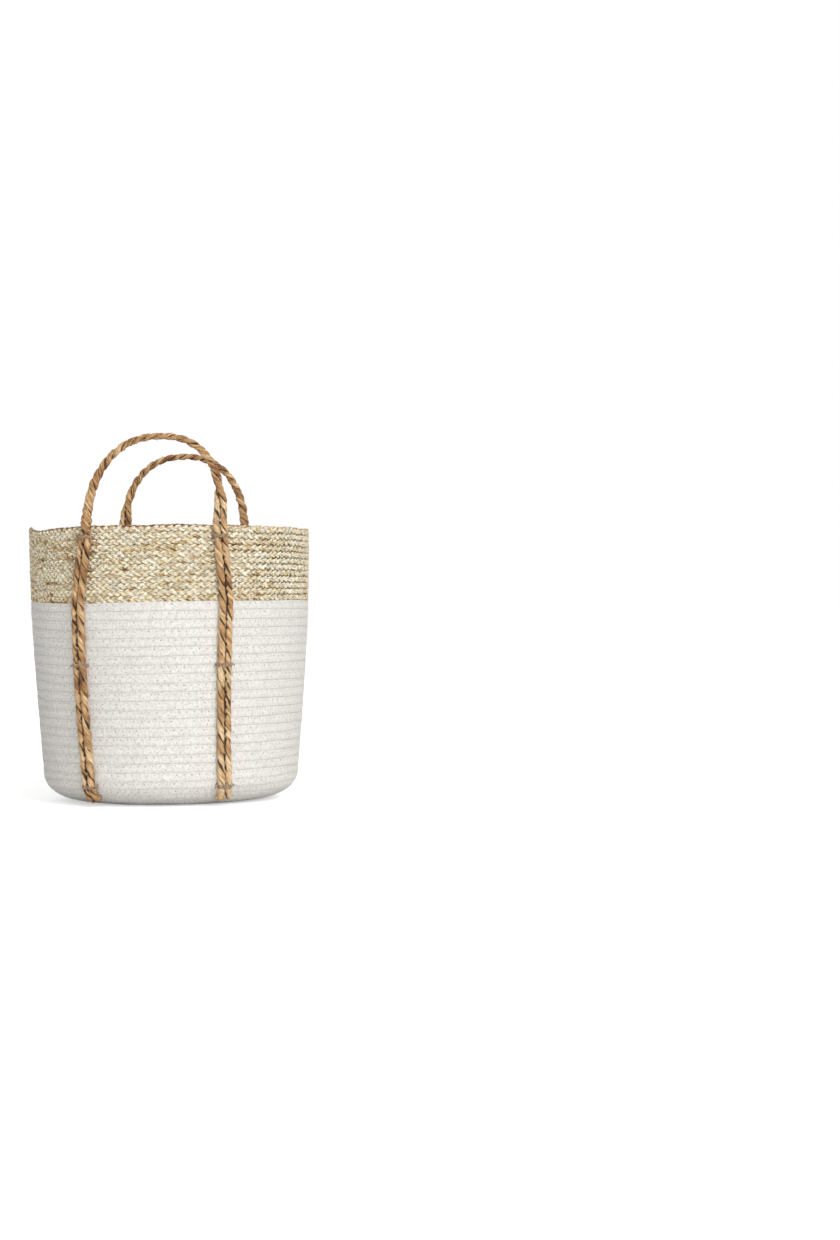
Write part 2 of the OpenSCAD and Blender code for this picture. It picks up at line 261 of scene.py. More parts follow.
# ---- rolled pieces ----
class Piece:
    """A mesh made of strips that are rolled into tubes.

    Its points carry what the materials need: grain is the place in the strand, tone is how light the strand
    is there, and depth is how far it lies in the shade of its neighbours."""

    def __init__(self, name):
        self.name = name
        self.bm = bmesh.new()
        self.bm.loops.layers.uv.new("lay")
        self.grain = self.bm.verts.layers.float_vector.new("grain")
        self.tone = self.bm.verts.layers.float.new("tone")
        self.depth = self.bm.verts.layers.float.new("depth")

    def roll(self, rings, sides, place, lay):
        """Rolls a strip of rings x sides cells: place(u, v) gives the points, their grain, tone and depth.

        Lay is the strip's length and width, for its texture coordinates."""
        bm = self.bm
        made = bmesh.ops.create_grid(bm, x_segments=rings, y_segments=sides, size=0.5, calc_uvs=True)
        made = made["verts"]
        uv = np.array([v.co[:2] for v in made])
        uv = (uv - uv.min(0)) / (uv.max(0) - uv.min(0))
        points, grain, tone, depth = place(uv[:, 0], uv[:, 1])
        for v, p, g, t, d in zip(made, points.tolist(), grain.tolist(), tone.tolist(), depth.tolist()):
            v.co = p
            v[self.grain] = g
            v[self.tone] = t
            v[self.depth] = d
        layer = bm.loops.layers.uv.active
        for face in {f for v in made for f in v.link_faces}:
            for loop in face.loops:
                loop[layer].uv = (loop[layer].uv.x * lay[0], loop[layer].uv.y * lay[1])

    def finish(self, material, slot, *nodes, body="basket"):
        """Closes the tubes and makes the object, which stands for the CAD nodes.

        With no body it is left to be blended across a joint."""
        bm = self.bm
        bmesh.ops.remove_doubles(bm, verts=bm.verts, dist=1e-6)
        bmesh.ops.holes_fill(bm, edges=[e for e in bm.edges if e.is_boundary], sides=0)
        bmesh.ops.recalc_face_normals(bm, faces=bm.faces)
        for face in bm.faces:
            face.smooth = len(face.verts) <= 4
        mesh = bpy.data.meshes.new(self.name)
        bm.to_mesh(mesh)
        bm.free()
        mesh.materials.append(material)
        obj = bpy.data.objects.new(self.name, mesh)
        bpy.context.scene.collection.objects.link(obj)
        if body:
            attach(obj, body)
        if nodes:
            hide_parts(*nodes)
        return obj


def travel(line, first):
    """Direction of a line at each point, and two sideways directions that follow it without turning."""
    along = unit(np.gradient(line, axis=0))
    side = np.empty_like(along)
    now = np.array(first, float)
    for i, t in enumerate(along):
        now = now - t * (t @ now)
        now /= np.linalg.norm(now)
        side[i] = now
    return along, side, np.cross(along, side)


def press_ply(points, core, i, run, seed):
    """The points of a ply, squeezed against the next rope, and how deep each lies between the ropes."""
    centre, radius, partner, press = core
    off = points - centre[i]
    # painted shade: dark in the rope's middle and on the side towards the next rope, less so where they are
    # pressed flat
    sunk = np.clip((0.97 - np.linalg.norm(off, axis=1) / radius[i]) / 0.28, 0, 1) * (1 - 0.8 * press[i])
    facing = (off * partner[i]).sum(1)
    shut = 0.70 + 0.26 * waves(run[i], seed + 9, 31, 83, 149)
    sunk = np.maximum(sunk, np.clip((facing / radius[i] - shut + 0.36 * press[i]) / 0.35, 0, 1))
    fuller = off * (1 + 0.12 * press[i])[:, None]
    flatter = partner[i] * (0.30 * press[i] * facing)[:, None]
    return centre[i] + fuller - flatter, sunk


def squarer(wave, square):
    """A sine or cosine bent so that the two together draw a squarer ring; 2 is round."""
    return np.sign(wave) * np.abs(wave) ** (2 / square)


def tube(piece, line, away, thick, wide, sides, tone, seed=0, folds=0.0, depth=None, square=2.0, core=None):
    """Rolls a tube along a line. Thick and wide are its half sizes, towards away and across it.

    Folds is how creased it is. Depth says how far its front and its back lie in the shade. A core is the
    rope that the tube is a ply of: its line and radius, the way to the next rope and how hard the two are
    pressed together."""
    rings = len(line) - 1
    along = unit(np.gradient(line, axis=0))
    if np.allclose(line[0], line[-1]):
        along[0] = along[-1] = unit(line[1] - line[-2])
    across = unit(np.cross(along, away))
    run = lengths(line)
    thick = np.broadcast_to(thick, run.shape)
    wide = np.broadcast_to(wide, run.shape)
    tone = np.broadcast_to(tone, run.shape)
    front, back = (np.zeros_like(run),) * 2 if depth is None else depth
    phase = np.random.default_rng(seed).uniform(0, PHASES, 3)

    def place(u, v):
        i = np.rint(u * rings).astype(int)
        a = 2 * math.pi * v
        # creases that wander as they run along the tube
        swell = 1 + folds * (
            np.sin(5 * a + phase[0] + 2 * np.sin(run[i] / 0.011))
            + 0.6 * np.sin(8 * a + phase[1] - run[i] / 0.006)
            + 0.5 * np.sin(2 * a + phase[2] + run[i] / 0.017)
        )
        x = thick[i] * swell * squarer(np.cos(a), square)
        y = wide[i] * swell * squarer(np.sin(a), square)
        points = line[i] + away[i] * x[:, None] + across[i] * y[:, None]
        # deeper towards the sides, for the painted shade where the tube meets its neighbours
        sunk = np.where(np.cos(a) < 0, back[i], front[i]) + 0.5 - 0.5 * np.abs(np.cos(a))
        if core:
            points, sunk = press_ply(points, core, i, run, seed)
        grain = np.stack([x, y, run[i] + 3.7 * phase[0]], 1)
        return points, grain, tone[i], sunk

    girth = math.pi * float(thick.mean() + wide.mean())
    piece.roll(rings, sides, place, (run[-1], girth))


# ---- materials ----
def tint(r, g, b):
    """A colour as it looks, 0 to 255, as the shader's own numbers."""
    lin = lambda c: c / 12.92 if c <= 0.04045 else ((c + 0.055) / 1.055) ** 2.4
    return lin(r / 255), lin(g / 255), lin(b / 255), 1.0


class Wiring:
    """Short words for making a tree's nodes and linking them."""

    def __init__(self, owner):
        owner.use_nodes = True
        self.tree = owner.node_tree
        self.link = self.tree.links.new

    def node(self, kind, inputs=None, **settings):
        """A node with some inputs, each a number or another node's output."""
        made = self.tree.nodes.new("ShaderNode" + kind)
        for key, value in settings.items():
            setattr(made, key, value)
        for key, value in (inputs or {}).items():
            if isinstance(value, bpy.types.NodeSocket):
                self.link(value, made.inputs[key])
            else:
                made.inputs[key].default_value = value
        return made

    def calc(self, operation, a, b=0.0, c=0.0, clamp=False):
        """The result of a Math node."""
        return self.node("Math", {0: a, 1: b, 2: c}, operation=operation, use_clamp=clamp).outputs[0]

    def stretch(self, value, low, high, to_low=0.0, to_high=1.0, **settings):
        """A value between low and high, brought between to_low and to_high."""
        inputs = {0: value, 1: low, 2: high, 3: to_low, 4: to_high}
        return self.node("MapRange", inputs, **settings).outputs[0]

    def seen(self):
        """1 for what the camera, a reflection or glass sees, 0 for the light that falls on the object."""
        path = self.node("LightPath").outputs
        seen = self.calc("MAXIMUM", path["Is Camera Ray"], path["Is Glossy Ray"])
        return self.calc("MAXIMUM", seen, path["Is Transmission Ray"])


class Finish(Wiring):
    """A material with one shader, and what its colour and bump are made from."""

    def __init__(self, name, roughness, sheen=0.0):
        self.material = bpy.data.materials.new(name)
        super().__init__(self.material)
        self.shader = self.tree.nodes["Principled BSDF"]
        self.shader.inputs["Roughness"].default_value = roughness
        self.shader.inputs["Sheen Weight"].default_value = sheen
        self.shader.inputs["Specular IOR Level"].default_value = 0.25

    def value(self, name):
        """A number that the piece's points carry."""
        return self.node("Attribute", attribute_name=name).outputs["Fac"]

    def grain(self, *scale):
        """The place in the strand, stretched along each axis; the last is along the strand."""
        where = self.node("Attribute", attribute_name="grain").outputs["Vector"]
        return self.node("Mapping", {"Vector": where, "Scale": scale}).outputs[0]

    def noise(self, vector, scale=1.0, detail=2.0, roughness=0.5):
        """A soft random pattern, from 0 to 1."""
        settings = {"Vector": vector, "Scale": scale, "Detail": detail, "Roughness": roughness}
        return self.node("TexNoise", settings).outputs["Fac"]

    def ramp(self, fac, *stops):
        """A colour from a list of places, 0 to 1, and their colours."""
        made = self.node("ValToRGB", {"Fac": fac})
        elements = made.color_ramp.elements
        while len(elements) < len(stops):
            elements.new(0.5)
        for element, (position, colour) in zip(elements, stops):
            element.position = position
            element.color = colour
        return made.outputs["Color"]

    def mix(self, fac, a, b):
        """Colour a where fac is 0 and b where it is 1."""
        factor, first, second, colour = 0, 6, 7, 2  # the node's sockets for colours
        inputs = {factor: fac, first: a, second: b}
        return self.node("Mix", inputs, data_type="RGBA").outputs[colour]

    def done(self, colour, height, distance, strength):
        """Gives the shader its colour and its bump, and returns the material."""
        self.link(colour, self.shader.inputs["Base Color"])
        bump = self.node("Bump", {"Height": height, "Distance": distance, "Strength": strength})
        self.link(bump.outputs[0], self.shader.inputs["Normal"])
        return self.material


def cotton_finish():
    """Undyed cotton rope: a fine braided cover, soft blotches, the small holes of the zigzag seam, and
    painted shade and light.
    """
    f = Finish("cotton_rope", 0.9, sheen=0.15)
    where = f.node("TexCoord").outputs["Object"]

    # two sets of yarns that cross, each on top by turns
    split = f.node("SeparateXYZ", {0: f.node("UVMap", uv_map="lay").outputs[0]})
    drift = f.calc("MULTIPLY_ADD", f.noise(where, 130.0, 2.0), 0.0036, -0.0018)
    run = f.calc("MULTIPLY", f.calc("ADD", split.outputs[0], drift), math.pi / COVER_LENGTH)
    girth = f.calc("MULTIPLY", f.calc("ADD", split.outputs[1], drift), math.pi / COVER_WIDTH)
    one = f.calc("SINE", f.calc("ADD", run, girth))
    other = f.calc("SINE", f.calc("SUBTRACT", run, girth))
    over = f.calc("GREATER_THAN", f.calc("MULTIPLY", one, other), 0.0)
    under = f.calc("SUBTRACT", 1.0, over)
    yarns = [f.calc("POWER", f.calc("ABSOLUTE", wave), 0.6) for wave in (one, other)]
    cover = f.calc("MULTIPLY_ADD", yarns[0], over, f.calc("MULTIPLY", yarns[1], under))

    # needle holes above and below each turn's middle, some drawn wide and some closed, with painted shade in
    # them
    pull = f.stretch(f.noise(where, 75.0, 1.0), 0.38, 0.62, 0.15, 0.95)
    slack = f.stretch(f.noise(where, 95.0, 1.0), 0.42, 0.64, 0.0, 0.7)
    holes = []
    for name, side, half, share in (("seam_above", 1.0, 0.0, pull), ("seam_below", -1.0, 0.5, slack)):
        count = f.calc("ADD", f.value(name), half)
        off = f.calc("MULTIPLY", f.calc("SUBTRACT", f.calc("FRACT", count), 0.5), STITCH)
        height = f.calc("SUBTRACT", f.value("tone"), side * (COIL_PITCH / 2 - STITCH_REACH))
        square = f.calc("ADD", f.calc("MULTIPLY", off, off), f.calc("MULTIPLY", height, height))
        near = f.calc("SUBTRACT", 1.0, f.calc("DIVIDE", f.calc("SQRT", square), HOLE_R), clamp=True)
        holes.append(f.calc("MULTIPLY", near, share))
    holes = f.calc("MAXIMUM", *holes)

    base = f.mix(f.noise(where, 55.0, 3.0), tint(236, 233, 227), tint(248, 246, 241))
    # painted shade in the gaps between the cover's yarns
    base = f.mix(f.calc("MULTIPLY", f.calc("SUBTRACT", 1.0, cover), 0.40), base, tint(196, 190, 181))
    # painted light: the cotton is lifted towards white at the seams, against the shade in their grooves
    base = f.mix(f.calc("MULTIPLY", f.value("depth"), 0.9), base, tint(253, 252, 250))
    specks = f.stretch(f.noise(where, 340.0, 1.0), 0.40, 0.60, 0.0, 0.55)
    base = f.mix(specks, base, tint(206, 201, 193))
    # painted shade: the needle holes are drawn in a dark colour
    base = f.mix(f.calc("MULTIPLY", holes, 1.7, clamp=True), base, tint(84, 76, 68))

    fuzz = f.noise(where, 900.0, 2.0, 0.6)
    height = f.calc("ADD", f.calc("MULTIPLY", cover, 0.8), f.calc("MULTIPLY", fuzz, 0.35))
    height = f.calc("SUBTRACT", height, f.calc("MULTIPLY", holes, 2.4))
    return f.done(base, height, 0.0011, 0.8)


def thread_finish():
    """White sewing thread with a fine twist."""
    f = Finish("sewing_thread", 0.8, sheen=0.1)
    along = f.node("SeparateXYZ", {0: f.grain(1, 1, 1)}).outputs[2]
    ply = f.calc("SINE", f.calc("MULTIPLY", along, 9000.0))
    # painted shade: the thread is darker and lighter by turns along its twist
    colour = f.mix(f.calc("MULTIPLY_ADD", ply, 0.5, 0.5), tint(226, 222, 214), tint(244, 242, 237))
    return f.done(colour, ply, 0.0001, 0.6)


def leaf_finish(name, colours, crease_shade, streak, wrinkle, fleck, crack, shade, roughness=0.62, stain=0.0):
    """Dried leaf with streaks, wrinkles, flecks and cracks along its grain, and painted shade in its creases
    and cracks.

    Colours go from dark to light; shade is the two depths between which a point takes the painted shade's
    colour.
    The rest say how strong each feature is; stain is that of its broad patches."""
    f = Finish(name, roughness, sheen=0.05)
    broad = f.noise(f.grain(260, 260, 22), 1.0, 2.0)
    fine = f.noise(f.grain(1900, 1900, 60), 1.0, 3.0, 0.6)
    spots = f.noise(f.grain(420, 420, 150), 1.0, 2.0, 0.55)
    fold = f.stretch(f.noise(f.grain(720, 720, 45), 1.0, 1.0), 0.34, 0.66)
    lines = f.noise(f.grain(780, 780, 38), 1.0, 1.0)

    light = f.calc("ADD", f.value("tone"), f.calc("MULTIPLY_ADD", broad, streak, -0.5 * streak))
    light = f.calc("ADD", light, f.calc("MULTIPLY_ADD", fine, 0.5 * streak, -0.25 * streak))
    # painted light and shade: the wrinkles are lighter on their ridges and darker in their folds
    light = f.calc("ADD", light, f.calc("MULTIPLY_ADD", fold, wrinkle, -0.5 * wrinkle), clamp=True)
    if stain:
        where = f.node("TexCoord").outputs["Object"]
        where = f.node("Mapping", {"Vector": where, "Scale": (22, 22, 70)}).outputs[0]
        patches = f.stretch(f.noise(where, 1.0, 2.0), 0.52, 0.72, 0.0, stain)
        light = f.calc("SUBTRACT", light, patches, clamp=True)
    colour = f.ramp(light, *colours)
    flecks = f.calc("MULTIPLY", f.calc("SUBTRACT", spots, 0.60), 7.0, clamp=True)
    colour = f.mix(f.calc("MULTIPLY", flecks, fleck), colour, colours[0][1])
    # the cracks along the grain are drawn in the dark colour of painted shade
    split = f.calc("MULTIPLY", f.calc("ABSOLUTE", f.calc("SUBTRACT", lines, 0.5)), 24.0)
    split = f.calc("MULTIPLY", f.calc("SUBTRACT", 1.0, split, clamp=True), crack)
    colour = f.mix(split, colour, crease_shade)
    # painted shade in the creases, where a point lies deep between strands, plies or ropes
    deep = f.stretch(f.value("depth"), *shade, interpolation_type="SMOOTHSTEP")
    colour = f.mix(f.calc("MULTIPLY", deep, 0.9), colour, crease_shade)

    ribs = f.calc("ADD", fine, f.calc("MULTIPLY_ADD", broad, 0.7, f.calc("MULTIPLY", fold, 2.0 * wrinkle)))
    return f.done(colour, f.calc("SUBTRACT", ribs, split), 0.0006, 0.9)


def husk_finish():
    """Straw and cream, with brown flecks and patches."""
    colours = ((0.0, tint(120, 80, 42)), (0.2, tint(182, 138, 84)), (0.42, tint(217, 192, 143)),
               (0.68, tint(241, 222, 181)), (1.0, tint(255, 247, 224)))
    return leaf_finish("maize_husk", colours, tint(54, 37, 22), streak=1.1, wrinkle=0.7, fleck=0.8,
                       crack=0.75, shade=(0.29, 0.67), stain=0.16)


def rope_finish():
    """Tan, with painted shade in the creases between the plies."""
    colours = ((0.0, tint(108, 69, 38)), (0.3, tint(170, 125, 81)), (0.6, tint(207, 166, 117)),
               (1.0, tint(238, 209, 166)))
    return leaf_finish("leaf_rope", colours, tint(40, 26, 16), streak=0.9, wrinkle=0.35, fleck=0.5, crack=0.6,
                       shade=(0.10, 0.70))


def twine_finish():
    """Grey brown, and duller than the ropes."""
    colours = ((0.0, tint(112, 90, 70)), (0.5, tint(166, 140, 114)), (1.0, tint(208, 186, 158)))
    return leaf_finish("leaf_twine", colours, tint(62, 48, 36), streak=0.8, wrinkle=0.3, fleck=0.4, crack=0.3,
                       shade=(0.6, 1.0), roughness=0.8)


# ---- coiled cotton rope ----
FLOOR_TURNS = FLOOR_R / COIL_PITCH
COIL_END = float(run_at(COTTON_Z + COIL_PITCH / 2)) / COIL_PITCH - 0.5


def coil_azimuth(turn):
    """The way round the basket at a turn."""
    return SEAM_AZIMUTH + 2 * math.pi * (turn - COIL_END)


def seam_run(turn):
    """Length along the outer face of the seam above a turn."""
    wobble = SEAM_WOBBLE * waves(turn, 3, 2.37, 5.61, 9.3)
    return np.maximum(0, COIL_PITCH * (turn + 0.5) + wobble * np.clip(turn, 0, 1))


def stitch_table():
    """Numbers of turns, and how many stitches have been sewn by each."""
    turn = np.linspace(COIL_START, COIL_END, 6000)
    r, z = profile_at(seam_run(turn))
    seam = np.stack([r * np.cos(2 * math.pi * turn), r * np.sin(2 * math.pi * turn), z], 1)
    return turn, lengths(seam) / STITCH


STITCH_TURN, STITCH_COUNT = stitch_table()


def stitches_at(turn):
    """How many stitches have been sewn by a turn."""
    return np.interp(turn, STITCH_TURN, STITCH_COUNT)


def turn_at(stitches):
    """The turn at which a number of stitches have been sewn."""
    return np.interp(stitches, STITCH_COUNT, STITCH_TURN)


def coil(name, first, last, per_turn, material, node):
    """One stretch of the cotton rope, between two numbers of turns, flat where it is sewn to the next."""
    piece = Piece(name)
    above = piece.bm.verts.layers.float.new("seam_above")
    below = piece.bm.verts.layers.float.new("seam_below")
    rings = round((last - first) * per_turn)
    face = COIL_SIDES // 2 - 1

    def place(u, v):
        turn = first + (last - first) * u
        # half the corners lie on the outer face and half on the inner, from y = 1 at the upper seam to -1
        corner = np.rint(v * COIL_SIDES).astype(int) % COIL_SIDES
        outer = corner <= face
        share = np.where(outer, corner, corner - face - 1) / face
        y = np.where(outer, 1, -1) * np.sin(math.pi / 2 * (1 - 2 * share))
        low, high = seam_run(turn - 1), seam_run(turn)
        low = np.where(turn < 0.5, 0, low)
        s = (low + high) / 2 + y * (high - low) / 2
        plump = 0.00022 * waves(turn, 5, 3.37, 7.61, 13.2) * (s > 0.1)
        fall = ROW_FALL * np.abs(y) ** 4
        out = np.where(outer, -fall + plump, -COTTON_THICK + fall - plump)
        points = on_body(s, coil_azimuth(turn), out)
        grain = np.stack([out, s, stitches_at(turn) * STITCH], 1)
        # the last value, 1 at the seams, is where the cotton gets its painted light
        return points, grain, y * (high - low) / 2, np.abs(y) ** 12

    run = float(stitches_at(last) - stitches_at(first)) * STITCH
    piece.roll(rings, COIL_SIDES, place, (run, COVER_WIDTH * COVER_ROUND))
    one_turn_back = {}
    for v in piece.bm.verts:
        count = v[piece.grain].z / STITCH
        if count not in one_turn_back:
            one_turn_back[count] = float(stitches_at(float(turn_at(count)) - 1))
        v[above] = count
        v[below] = one_turn_back[count]
    return piece.finish(material, "cotton", node)


def zigzag(name, out, weave, material):
    """The zigzag thread that sews each turn to the next, on the face of the rope that lies at out.

    It rises by weave where it crosses a seam and dips into the rope at its points."""
    piece = Piece(name)
    # four points to a stitch: below the seam, on it, above it and on it
    low, high = stitches_at([FIRST_STITCH, COIL_END - 1])
    count = np.arange(math.ceil(low) * 4, math.floor(high) * 4) / 4
    turn = turn_at(count + 0.5)
    phase = np.round((count % 1) * 4).astype(int)
    reach = np.array([-1, 0, 1, 0])[phase] * STITCH_REACH
    raised = np.array([-1, 1, -1, 1])[phase] * weave
    line = on_body(seam_run(turn) + reach, coil_azimuth(turn), out + raised)
    line[:, 2] = np.maximum(line[:, 2], LOWEST_THREAD)
    seam = seam_run(turn), coil_azimuth(turn)
    away = unit(on_body(*seam) - on_body(*seam, -0.01))
    tube(piece, line, away, THREAD_THICK, THREAD_WIDE, 4, 0.5)
    return piece.finish(material, "thread")


# ---- braided band ----
def band_height(k, lap):
    """Height of the lower edge of braid row k, at share lap of the way round from the seam."""
    bottom = COTTON_Z + COIL_PITCH * (lap - 0.5)
    return bottom + (RIM_Z - bottom) * k / BAND_ROWS


def row_edge(k, lap):
    """The same, but near the seam each edge between two rows steps up to the next."""
    if k in (0, BAND_ROWS):
        return band_height(k, lap)
    step = band_height(k + 1, 0.0) - band_height(k, 1.0)
    before = band_height(k, 0.0) - band_height(k - 1, 1.0)
    rise = step / 2 * smooth((lap - 1 + SEAM_ZONE) / SEAM_ZONE)
    drop = before / 2 * smooth((SEAM_ZONE - lap) / SEAM_ZONE)
    return band_height(k, lap) + rise - drop


def braid_row(k, material):
    """One row of a flat three-strand braid of twisted husk."""
    piece = Piece(f"braid_row_{k + 1:02d}")
    rings = PERIODS * BRAID_STEP
    lap = np.linspace(0, 1, rings + 1)
    azimuth = SEAM_AZIMUTH + 2 * math.pi * lap
    low, high = run_at(row_edge(k, lap)), run_at(np.minimum(row_edge(k + 1, lap), RIM_Z))
    middle, half = (low + high) / 2, (high - low) / 2
    for j in range(3):
        seed = 100 + 10 * k + j
        angle = 2 * math.pi * (PERIODS * lap + j / 3)
        sway = (np.sin(angle) - 0.10 * np.sin(3 * angle)) / 1.10
        over = np.sin(2 * angle)
        wide = half * STRAND_WIDE * (1 + 0.12 * waves(lap, seed, 37, 83, 141))
        thick = STRAND_THICK * (1 + 0.14 * waves(lap, seed + 5, 29, 71))
        s = middle + sway * (half * STRAND_REACH - wide) + half * 0.07 * waves(lap, seed + 6, 43, 97)
        out = -STRAND_SINK + over * STRAND_OVER + 0.0002 * waves(lap, seed + 7, 17, 53)
        line = on_body(s, azimuth, out)
        away = unit(on_body(s, azimuth, out + 0.01) - line)
        stain = smooth(waves(lap, 40 + k, 2, 5, 11, 19) - 0.3)
        tone = 0.90 + 0.25 * waves(lap, seed + 3, 9, 23, 47, 90, 170) + ROW_TONES[k]
        # painted shade: the strands are darker round the left side, away from the light
        tone = tone - 0.55 * stain * smooth(-1.5 * sway - 0.2) - 0.10 * lean_to(azimuth, 200, 40)
        # the outer face is deeper where the strand passes under, the inner face where it passes over, for
        # painted shade
        sunk = (0.20 - 0.20 * over, 0.20 + 0.20 * over)
        tube(piece, line, away, thick, wide, 12, tone, seed, folds=0.13, depth=sunk, square=2.5)
    nodes = {0: ["maize_band"], BAND_ROWS - 1: ["rim_braid"]}.get(k, [])
    return piece.finish(material, "maize", *nodes)


def band_stitching(material):
    """The thick thread that zigzags over the seam between cotton and band, on the inner face."""
    piece = Piece("band_stitching")
    low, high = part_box("band_thread")
    half = (high.z - low.z) / 2 - SEAM_THREAD_R
    step = np.arange(4 * ZIGZAGS + 1)
    lap = step / step[-1]
    azimuth = SEAM_AZIMUTH + 2 * math.pi * lap
    phase = np.array([-1, 0, 1, 0])[step % 4]
    s = run_at(band_height(0, lap)) + SEAM_THREAD_UP + phase * half
    on_braid, between, on_cotton = 0.0069, 0.0083, 0.0088
    out = -np.array([on_braid, between, on_cotton])[1 - phase]
    line = on_body(s, azimuth, out)
    away = unit(line * np.array([1, 1, 0]))
    tube(piece, line, away, SEAM_THREAD_R, SEAM_THREAD_R, 6, 0.5)
    return piece.finish(material, "thread", "band_thread")


def rim_edging(material):
    """A husk cord along the top edge, browner towards the front left."""
    piece = Piece("rim_edging")
    lap = np.linspace(0, 1, 1201)
    azimuth = SEAM_AZIMUTH + 2 * math.pi * lap
    brown = np.cos(azimuth - math.radians(222))
    for j in range(2):
        twist = 2 * math.pi * (CORD_TURNS * lap + j / 2)
        s = run_at(RIM_Z - 0.0004) + 0.0007 * np.sin(twist) + 0.0004 * waves(lap, 61 + j, 7, 19, 41)
        line = on_body(s, azimuth, -CORD_SINK + 0.0008 * np.cos(twist))
        line[-1] = line[0]
        away = unit(on_body(s, azimuth, 0.01) - on_body(s, azimuth))
        tone = 0.42 - 0.34 * smooth(brown * 1.4) + 0.18 * waves(lap, 71 + j, 11, 37, 73)
        size = CORD_R * (1 + 0.15 * waves(lap, 81 + j, 23, 61))
        tube(piece, line, away, size, size, 7, tone, 91 + j, folds=0.06)
        fibres(piece, line, *travel(line, (0, 0, 1)), size, 95 + j, 130, (0.002, 0.005))
    return piece.finish(material, "maize")


# ---- handle ropes ----
def pair_angle(z, bow):
    """How far to the side of its handle's middle a leg stands at a height."""
    lean = LEG_ANGLE + (RIM_ANGLE - LEG_ANGLE) * np.clip((z - COTTON_Z) / (RIM_Z - COTTON_Z), 0, 1)
    return lean + FOOT_SPLAY * np.clip(1 - z / HEEL_RISE, 0, 1) ** 2 + bow * np.sin(math.pi * z / RIM_Z)


def hinge_x():
    """How far to the side of its handle's middle a pair crosses the hinge line."""
    just_below_rim = run_at(RIM_Z - 1e-6)
    r = profile_at(just_below_rim, GAP + ROPE_R)[0]
    return float(r * math.sin(RIM_ANGLE))


def leg_line(side, bow):
    """A front leg from its foot to the hinge: its points and the outward way across the pair."""
    s = np.linspace(float(run_at(LEG_END_Z)), float(run_at(TIE_TOP_Z)) + ABOVE_TIE, 160)
    r, z = profile_at(s, GAP + ROPE_R)
    a = pair_angle(profile_at(s)[1], side * -bow)
    line = np.stack([side * r * np.sin(a), -r * np.cos(a), z], 1)
    last = line[-1]
    end = np.array([side * hinge_x(), HINGE.y, HINGE.z])
    u = np.linspace(0, 1, 12)[1:]
    rise = last + (end - last) * np.stack([smooth(u), smooth(u), u], 1)
    line = np.concatenate([line, rise])
    turn = np.concatenate([a, a[-1] * (1 - smooth(u))])
    across = np.stack([side * np.cos(turn), np.sin(turn), 0 * turn], 1)
    return line, across


def arch_line(sway):
    """The arch from left to right: its points and the share of its height."""
    a = np.linspace(0, math.pi, 241)
    high = squarer(np.sin(a), ARCH_POWER)
    x = -hinge_x() * squarer(np.cos(a), ARCH_POWER) + sway * high
    line = np.stack([x, np.full_like(x, HINGE.y), HINGE.z + ARCH_H * high], 1)
    return even(line, 0.002, high)


def twist_ramp(x):
    """The share of the twist made by the share x of the way, with a quick start and a slow end."""
    x = np.clip(x, 0, 1)
    full = 1 - (EASE_IN + EASE_OUT) / 2
    start = x * x / (2 * EASE_IN * full)
    end = 1 - (1 - x) ** 2 / (2 * EASE_OUT * full)
    return np.where(x < EASE_IN, start, np.where(x > 1 - EASE_OUT, end, (x - EASE_IN / 2) / full))


def rope_lines(sway, bow):
    """The outer and the inner rope of a front handle, each as its line, radius, way to the other and press.

    They climb the left leg side by side, start to twist below the hinge line, and go down the right leg
    side by side."""
    arch, high = arch_line(sway)
    run = lengths(arch)
    twisted = run[-1] - SIDE_BY_SIDE + TWIST_LEAD
    turns = round(twisted / TWIST_PITCH)

    def turned(run):
        return 2 * math.pi * turns * twist_ramp((run + TWIST_LEAD) / twisted)

    def squeeze(run):
        return smooth((run + TWIST_LEAD) / SQUEEZE)

    def push(run):
        return ROPE_R * np.sin(turned(run))[:, None] ** 2 * OUT_FRONT

    # over the arch
    inward = np.cross([0, 1, 0], unit(np.gradient(arch, axis=0)))
    angle = math.pi - turned(run)
    over = np.cos(angle)[:, None] * inward - np.sin(angle)[:, None] * OUT_FRONT
    hold = squeeze(run) * smooth((run[-1] - SIDE_BY_SIDE - run) / RELEASE)
    arch = arch + push(run) * (1 - smooth(run / SQUEEZE))[:, None]

    # on the legs, where the twist starts on the left one
    left, left_out = leg_line(-1, bow)
    right, right_out = leg_line(1, bow)
    run = lengths(left) - lengths(left)[-1]
    early = turned(run)[:, None]
    left_out = np.cos(early) * left_out - np.sin(early) * OUT_FRONT
    left = left + push(run)

    # from foot to foot, thinner over the arch and under each lashing
    middle = np.concatenate([left[:-1], arch, right[::-1][1:]])
    across = np.concatenate([left_out[:-1], over, right_out[::-1][1:]])
    share = np.concatenate([np.zeros(len(left) - 1), high, np.zeros(len(right) - 1)])
    press = np.concatenate([squeeze(run)[:-1], hold, np.zeros(len(right) - 1)])
    middle, across, share, press = even(middle, ROPE_STEP, across, share, press)
    across = unit(across)
    radius = ROPE_R - (ROPE_R - CROWN_R) * share - 0.0003 * press
    for z in TIE_HEIGHTS.values():
        radius = radius * (1 - 0.07 * np.exp(-(((middle[:, 2] - z) / 0.004) ** 2)) * (share == 0))
    closer = 0.95 - 0.20 * press - 0.09 * smooth(12 * share)
    offset = (radius * closer + PAIR_GAP / 2)[:, None] * across
    return (middle + offset, radius, -across, press), (middle - offset, radius, across, press)


